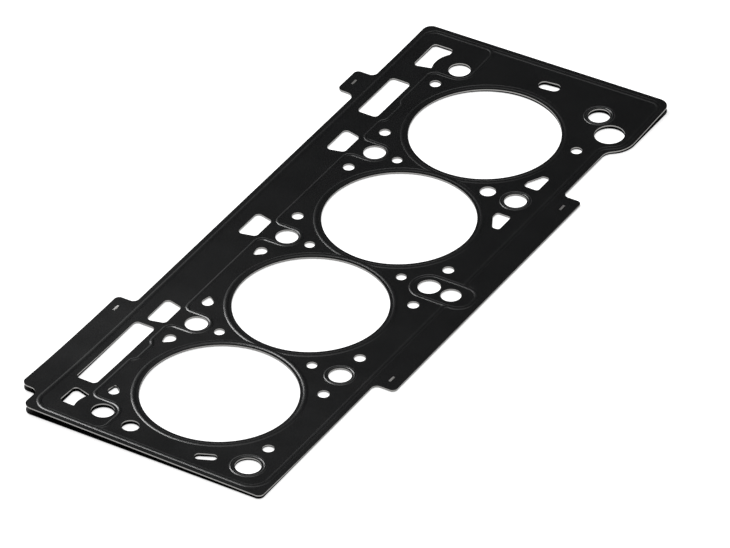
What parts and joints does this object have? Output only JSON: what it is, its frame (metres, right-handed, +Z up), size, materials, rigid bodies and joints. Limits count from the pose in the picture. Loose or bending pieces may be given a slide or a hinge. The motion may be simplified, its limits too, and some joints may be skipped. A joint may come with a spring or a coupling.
{
  "type": "cylinder head gasket",
  "caption": "Flat multi-layer steel gasket with cylinder bores, bolt holes, coolant holes and oil drain windows, its edges and bores ringed by pressed beads.",
  "frame": {"origin": "midway along the row of cylinder bores, on the crest of the lowest beads, which is the plane the gasket lies on", "axes": "+X along the row of bores towards the end with the large oil passage, +Y across it towards the edge with the drain windows, +Z up towards the cylinder head"},
  "size_m": [0.3898, 0.162, 0.0044],
  "materials": {
    "black_coat": "satin",
    "bare_steel": "satin"
  },
  "bodies": {
    "root": {"top_layer": "black_coat", "spacer_layer": "bare_steel", "bottom_layer": "black_coat"}
  },
  "joints": []
}
